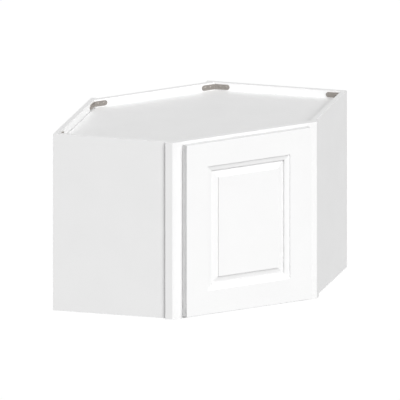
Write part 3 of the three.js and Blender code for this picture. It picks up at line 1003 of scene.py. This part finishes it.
class ScrewSet:
    """Puts a screw wherever the construction model has one."""

    def __init__(self, bench: Bench) -> None:
        self.bench = bench
        self.screw = Screw()
        self.pattern = self.screw.shape()

    def seat(self, node: str) -> Matrix:
        """Place of a screw: its head's underside at the origin and its point at -Z.

        Args:
            node: The construction node of the screw.

        Returns:
            The matrix that brings the pattern there.
        """
        shape = merged_copy(node)
        points = [vertex.co.copy() for vertex in shape.verts]
        shape.free()
        middle = sum(points, Vector()) / len(points)
        tip = max(points, key=lambda point: (point - middle).length)
        axis = (middle - tip).normalized()
        turn = axis.to_track_quat("Z", "Y").to_matrix().to_4x4()
        return Matrix.Translation(tip + axis * self.screw.length) @ turn

    def drive(self, node: str, body: Body, twist: float) -> None:
        """Makes the screw of one node.

        Args:
            node: The construction node of the screw.
            body: The body that it moves with.
            twist: How far round the screw was driven.
        """
        shape = self.pattern.copy()
        shape.transform(self.seat(node) @ Matrix.Rotation(twist, 4, "Z"))
        self.bench.finish(shape, f"{node}_driven", body, Slot.ZINC, [node])


class BentStrip:
    """Strip of sheet metal, drawn in plan from one end to the other, straight after bend.

    The line that is drawn is the strip's right-hand face, and its thickness lies on the left.
    """

    bend_steps: int = 8
    corner_steps: int = 8

    def __init__(self, start: Vector, heading: float, thickness: float, width: float) -> None:
        self.shape = bmesh.new()
        self.at = start.copy()
        self.heading = heading
        self.thickness = thickness
        across = start + self._left() * thickness
        half = Vector((0.0, 0.0, width / 2))
        corners = (start - half, across - half, across + half, start + half)
        self.end = self.shape.faces.new([self.shape.verts.new(corner) for corner in corners])

    def _forward(self) -> Vector:
        """Unit vector along the strip."""
        return Vector((math.cos(self.heading), math.sin(self.heading), 0.0))

    def _left(self) -> Vector:
        """Unit vector to the left of the strip."""
        return Vector((-math.sin(self.heading), math.cos(self.heading), 0.0))

    def straight(self, length: float) -> "BentStrip":
        """Draws the strip straight on."""
        self.end = bmesh.ops.extrude_discrete_faces(self.shape, faces=[self.end])["faces"][0]
        step = self._forward() * length
        bmesh.ops.translate(self.shape, verts=self.end.verts, vec=step)
        self.at += step
        return self

    def bend(self, angle: float, radius: float) -> "BentStrip":
        """Bends the strip.

        Args:
            angle: How far it turns; positive is to the left.
            radius: Inside radius of the bend.

        Returns:
            The strip itself.
        """
        offset = radius + self.thickness if angle > 0 else -radius
        centre = self.at + self._left() * offset
        old = self.end
        spun = bmesh.ops.spin(
            self.shape,
            geom=[old, *old.edges, *old.verts],
            cent=centre,
            axis=Z_AXIS,
            angle=angle,
            steps=self.bend_steps,
        )
        parts = spun["geom_last"]
        self.end = next(part for part in parts if isinstance(part, bmesh.types.BMFace))
        if old.is_valid:
            bmesh.ops.delete(self.shape, geom=[old], context="FACES_ONLY")
        self.at = centre + Matrix.Rotation(angle, 3, "Z") @ (self.at - centre)
        self.heading += angle
        return self

    def trimmed(self, easing: Easing, end_radius: float) -> bmesh.types.BMesh:
        """Closes the strip, rounds the corners of its ends and breaks its edges.

        Args:
            easing: How its edges are broken.
            end_radius: Radius of the ends' corners.

        Returns:
            The finished shape.
        """
        bmesh.ops.remove_doubles(self.shape, verts=self.shape.verts, dist=SAME_POINT)
        open_edges = [edge for edge in self.shape.edges if edge.is_boundary]
        bmesh.ops.holes_fill(self.shape, edges=open_edges, sides=0)
        bmesh.ops.recalc_face_normals(self.shape, faces=self.shape.faces)
        corners = []
        for edge in sharp_edges(self.shape):
            flat = abs(edge.verts[0].co.z - edge.verts[1].co.z) < SAME_POINT
            if flat and abs(edge.calc_length() - self.thickness) < SAME_POINT:
                corners.append(edge)
        round_edges(self.shape, corners, Easing(end_radius, self.corner_steps))
        round_edges(self.shape, sharp_edges(self.shape), easing)
        return self.shape


@dataclass(frozen=True)
class CornerStraps:
    """Bent steel straps that tie the case's corners in the recess above the top panel."""

    bench: Bench
    screws: ScrewSet
    leg: float = 38 * MM
    width: float = 13 * MM
    thickness: float = 2 * MM
    bend_radius: float = 1.5 * MM
    easing: Easing = Easing(0.35 * MM, segments=2)
    hole_radius: float = 1.65 * MM
    hole_facets: int = 20
    screws_per_strap: int = 4
    twist: float = 0.7

    def build(self) -> None:
        """Makes the four straps and their screws."""
        for wall in Wall:
            square = QUARTER_TURN if wall is Wall.LEFT else math.pi
            self._strap(f"{wall.value}_side_strap", QUARTER_TURN, wall.angle + square)
            obtuse = 3 * math.pi / 4
            first = 0.0 if wall is Wall.LEFT else -obtuse
            self._strap(f"{wall.value}_corner_strap", obtuse, wall.angle + first)

    def _strap(self, node: str, bend: float, angle: float) -> None:
        """One strap.

        Args:
            node: Its construction node.
            bend: Inside angle between its legs.
            angle: Heading of its first leg.
        """
        low, high = turned_box(node, angle)
        setback = (self.bend_radius + self.thickness) / math.tan(bend / 2)
        middle_z = (low.z + high.z) / 2
        corner = Vector((high.x - self.leg, low.y, middle_z))
        second = Vector((math.cos(bend), math.sin(bend), 0.0))
        strip = BentStrip(corner + second * self.leg, bend + math.pi, self.thickness, self.width)
        strip.straight(self.leg - setback).bend(math.pi - bend, self.bend_radius)
        strip.straight(self.leg - setback)
        shape = strip.trimmed(self.easing, self.width / 2 - SAME_POINT)
        shape.transform(Matrix.Rotation(angle, 4, "Z"))
        nodes = [f"{node}_screw_{number + 1}" for number in range(self.screws_per_strap)]
        shape = self._punched(shape, nodes)
        self.bench.finish(shape, f"{node}_bent", Body.CABINET, Slot.ZINC, [node])
        for number, screw in enumerate(nodes):
            self.screws.drive(screw, Body.CABINET, number * self.twist)

    def _punched(self, shape: bmesh.types.BMesh, nodes: Sequence[str]) -> bmesh.types.BMesh:
        """The strap with a hole for each screw."""
        reach = 2 * self.thickness
        holes = []
        for node in nodes:
            seat = self.screws.seat(node)
            ends = [seat @ Vector((0.0, 0.0, side * reach)) for side in (-1, 1)]
            holes.append(rod(*ends, self.hole_radius, self.hole_facets))
        return carved(shape, holes)


@dataclass(frozen=True)
class ConcealedHinges:
    """Two concealed hinges: a cup in the door, a pin across it and an arm on the face frame."""

    bench: Bench
    screws: ScrewSet
    cup_easing: Easing = Easing(0.3 * MM)
    arm_easing: Easing = Easing(0.35 * MM)
    flange_corner: Easing = Easing(6 * MM, segments=6)
    shortest_edge: float = 1.6 * MM
    pin_dome: Easing = Easing(0.3 * MM)
    pin_facets: int = 24
    cup_twist: float = 0.4
    arm_twist: float = 1.1

    def build(self) -> None:
        """Makes both hinges with their screws."""
        for end in ("lower", "upper"):
            hinge = f"{end}_hinge"
            self._cup(hinge)
            self._pin(hinge)
            self._arm(hinge)
            for number, label in enumerate(("lower", "upper")):
                cup_screw, arm_screw = f"{hinge}_cup_{label}_screw", f"{hinge}_arm_{label}_screw"
                self.screws.drive(cup_screw, Body.DOOR, self.cup_twist + number)
                self.screws.drive(arm_screw, Body.CABINET, self.arm_twist + number)

    def _cup(self, hinge: str) -> None:
        """The drawn cup with its flange, the flange's corners rounded."""
        node = f"{hinge}_cup"
        shape = merged_copy(node)
        low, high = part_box(node)
        corners = [
            edge
            for edge in edges_along(sharp_edges(shape), Y_AXIS)
            if not low.z + SAME_POINT < edge.verts[0].co.z < high.z - SAME_POINT
        ]
        round_edges(shape, corners, self.flange_corner)
        round_edges(shape, sharp_edges(shape, shortest=self.shortest_edge), self.cup_easing)
        self.bench.finish(shape, f"{hinge}_drawn_cup", Body.DOOR, Slot.NICKEL, [node])

    def _pin(self, hinge: str) -> None:
        """The pivot pin, with domed ends."""
        node = f"{hinge}_pin"
        low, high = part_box(node)
        middle = (low + high) / 2
        radius = (high.x - low.x) / 2
        ends = [(middle.x, middle.y, height) for height in (low.z, high.z)]
        shape = rod(*ends, radius, self.pin_facets)
        round_edges(shape, sharp_edges(shape), self.pin_dome)
        self.bench.finish(shape, f"{hinge}_pivot", Body.DOOR, Slot.NICKEL, [node])

    def _arm(self, hinge: str) -> None:
        """The pressed arm, its edges rolled over."""
        node = f"{hinge}_arm"
        shape = merged_copy(node)
        round_edges(shape, sharp_edges(shape, shortest=self.shortest_edge), self.arm_easing)
        self.bench.finish(shape, f"{hinge}_pressed_arm", Body.CABINET, Slot.NICKEL, [node])


@dataclass(frozen=True)
class ShelfAndSupports:
    """The loose shelf and the four pressed supports that it lies on."""

    bench: Bench
    shelf_easing: Easing = Easing(0.5 * MM)
    shortest_edge: float = 20 * MM
    plug_length: float = 8 * MM
    plug_radius: float = 2.5 * MM
    plug_facets: int = 24
    plug_lead: Easing = Easing(0.6 * MM, segments=2)
    plate_thickness: float = 1.5 * MM
    plate_half_height: float = 7.5 * MM
    ledge_reach: float = 9 * MM
    support_width: float = 10 * MM
    bend_radius: float = 0.8 * MM
    rib_width: float = 2 * MM
    corner_radius: float = 2 * MM
    metal_easing: Easing = Easing(0.3 * MM, segments=2)

    def build(self) -> None:
        """Makes the shelf and its supports."""
        node = "adjustable_shelf"
        shape = merged_copy(node)
        round_edges(shape, sharp_edges(shape, shortest=self.shortest_edge), self.shelf_easing)
        self.bench.finish(shape, "loose_shelf", Body.CABINET, Slot.WHITE_BOARD, [node])
        for wall in Wall:
            self._support(f"{wall.value}_front_shelf_pin", wall.angle)
            self._support(f"{wall.value}_back_shelf_pin", wall.angle - wall.hand * QUARTER_TURN)

    def _support(self, node: str, angle: float) -> None:
        """One support: a plate against the board, bent over into a ledge, with a plug and a rib.

        Args:
            node: Its construction node.
            angle: Heading of its plug.
        """
        low, high = turned_box(node, angle)
        middle = (low + high) / 2
        axis_height = high.z - self.plate_half_height
        origin = Vector((high.x - self.plug_length, middle.y, axis_height))
        shape = self._pressing()
        ends = [(x, 0.0, 0.0) for x in (-self.plate_thickness / 2, self.plug_length)]
        plug = rod(*ends, self.plug_radius, self.plug_facets)
        tip = [edge for edge in sharp_edges(plug) if edge.verts[0].co.x > self.plug_length / 2]
        round_edges(plug, tip, self.plug_lead)
        add_shape(shape, plug)
        shape.transform(Matrix.Rotation(angle, 4, "Z") @ Matrix.Translation(origin))
        self.bench.finish(shape, f"{node}_pressed", Body.CABINET, Slot.NICKEL, [node])

    def _pressing(self) -> bmesh.types.BMesh:
        """Plate, ledge and rib, with the plug's axis along +X from the origin."""
        top = self.plate_half_height
        foot = Vector((0.0, -top, 0.0))
        strip = BentStrip(foot, QUARTER_TURN, self.plate_thickness, self.support_width)
        outer_radius = self.bend_radius + self.plate_thickness
        strip.straight(2 * top - outer_radius).bend(QUARTER_TURN, self.bend_radius)
        strip.straight(self.ledge_reach - outer_radius)
        shape = strip.trimmed(self.metal_easing, self.corner_radius)
        shape.transform(Matrix.Rotation(QUARTER_TURN, 4, "X"))
        rib_top = top - self.plate_thickness
        rib_foot = rib_top - self.plate_thickness
        rib = slab(
            (-self.ledge_reach + self.corner_radius, -self.rib_width / 2, rib_foot),
            (-self.plate_thickness / 2, self.rib_width / 2, rib_top + self.plate_thickness / 2),
        )
        round_edges(rib, sharp_edges(rib), self.metal_easing)
        add_shape(shape, rib)
        return shape


# Studio


def direction(azimuth: float, elevation: float) -> Vector:
    """Unit vector from the cabinet towards a viewpoint; azimuth 0 is straight in front."""
    flat = math.cos(elevation)
    return Vector((math.sin(azimuth) * flat, -math.cos(azimuth) * flat, math.sin(elevation)))


@dataclass(frozen=True)
class Softbox:
    """A broad lamp, far away: its power, its spread and its direction from the cabinet."""

    name: str
    power: float
    azimuth: float
    elevation: float
    spread: float

    def hang(self) -> None:
        """Puts the lamp in the scene."""
        data = bpy.data.lights.new(self.name, "SUN")
        data.energy = self.power
        data.angle = self.spread
        lamp = put_in_scene(self.name, data)
        lamp.rotation_mode = "QUATERNION"
        lamp.rotation_quaternion = direction(self.azimuth, self.elevation).to_track_quat("Z", "Y")


@dataclass(frozen=True)
class Studio:
    """Pale floor at the height where a wall cabinet hangs above one, soft light and the camera.

    The camera looks in parallel lines. It was fitted to the square photograph: the middle of the
    face frame's upper front edge is seen at the anchor pixel.
    """

    hang_height: float = 1.372
    floor_half: float = 60.0
    floor_shade: Colour = (0.47, 0.47, 0.47)
    backdrop: float = 1.0
    floor_lift: float = 0.64
    sky: float = 0.3
    key: Softbox = Softbox(
        name="key",
        power=2.71,
        azimuth=math.radians(-5),
        elevation=math.radians(35),
        spread=math.radians(40),
    )
    camera_azimuth: float = math.radians(-29.643)
    camera_elevation: float = math.radians(15.054)
    camera_distance: float = 3.0
    photo_side: float = 400.0
    pixels_per_metre: float = 399.67
    anchor_pixel: tuple[float, float] = (244.676, 132.476)

    def build(self) -> None:
        """Sets up the floor, the light and the camera."""
        self._floor()
        self._world()
        self.key.hang()
        self._camera()
        bpy.context.scene.view_settings.view_transform = "Standard"
        log.info("studio: floor %.3f m below the cabinet", self.hang_height)

    def _seen_directly(self, graph: Graph) -> Value:
        """1 for rays from the camera and for those that mirror or pass through a surface."""
        path = graph.node("ShaderNodeLightPath")
        camera = Value(graph, path.outputs["Is Camera Ray"])
        glossy = Value(graph, path.outputs["Is Glossy Ray"])
        through = Value(graph, path.outputs["Is Transmission Ray"])
        return camera.at_least(glossy).at_least(through)

    def _floor(self) -> None:
        """A wide pale floor that looks white to the camera and keeps the shadow."""
        shape = bmesh.new()
        bmesh.ops.create_grid(shape, x_segments=1, y_segments=1, size=self.floor_half)
        mesh = mesh_of(shape, "floor")
        mesh.transform(Matrix.Translation((0.0, 0.0, cad_low.z - self.hang_height)))
        material = bpy.data.materials.new("Pale floor")
        graph = Graph(material)
        diffuse = graph.node("ShaderNodeBsdfDiffuse", None, {"Color": (*self.floor_shade, 1.0)})
        lift = self._seen_directly(graph) * self.floor_lift
        glow = graph.node("ShaderNodeEmission", None, {"Strength": lift})
        shaders = {0: diffuse.outputs[0], 1: glow.outputs[0]}
        both = graph.node("ShaderNodeAddShader", None, shaders)
        graph.node("ShaderNodeOutputMaterial", None, {"Surface": both.outputs[0]})
        mesh.materials.append(material)
        floor = put_in_scene("floor", mesh)

    def _world(self) -> None:
        """Even light from all round, white to the camera."""
        world = bpy.data.worlds.new("Studio")
        bpy.context.scene.world = world
        graph = Graph(world)
        strength = self.sky + self._seen_directly(graph) * (self.backdrop - self.sky)
        inputs = {"Color": (1.0, 1.0, 1.0, 1.0), "Strength": strength}
        light = graph.node("ShaderNodeBackground", None, inputs)
        graph.node("ShaderNodeOutputWorld", None, {"Surface": light.outputs[0]})

    def _camera(self) -> None:
        """The camera at the photograph's angle, placed by the anchor pixel."""
        back = direction(self.camera_azimuth, self.camera_elevation)
        right = Vector((math.cos(self.camera_azimuth), math.sin(self.camera_azimuth), 0.0))
        up = back.cross(right)
        anchor = Vector((0.0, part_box("frame_top_rail")[0].y, cad_high.z))
        middle = self.photo_side / 2
        across, down = ((middle - pixel) / self.pixels_per_metre for pixel in self.anchor_pixel)
        target = anchor + right * across - up * down
        data = bpy.data.cameras.new("camera")
        data.type = "ORTHO"
        data.ortho_scale = self.photo_side / self.pixels_per_metre
        camera = put_in_scene("camera", data)
        camera.location = target + back * self.camera_distance
        camera.rotation_mode = "QUATERNION"
        camera.rotation_quaternion = back.to_track_quat("Z", "Y")
        bpy.context.scene.camera = camera


def main() -> None:
    """Builds the studio and every piece of the cabinet."""
    logging.basicConfig(level=logging.INFO, format="%(message)s")
    Studio().build()
    bench = Bench(Finishes())
    screws = ScrewSet(bench)
    CaseShell(bench).build()
    FaceFrame(bench).build()
    RaisedPanelDoor(bench).build()
    CornerStraps(bench, screws).build()
    ConcealedHinges(bench, screws).build()
    ShelfAndSupports(bench).build()


if __name__ == "__main__":
    main()
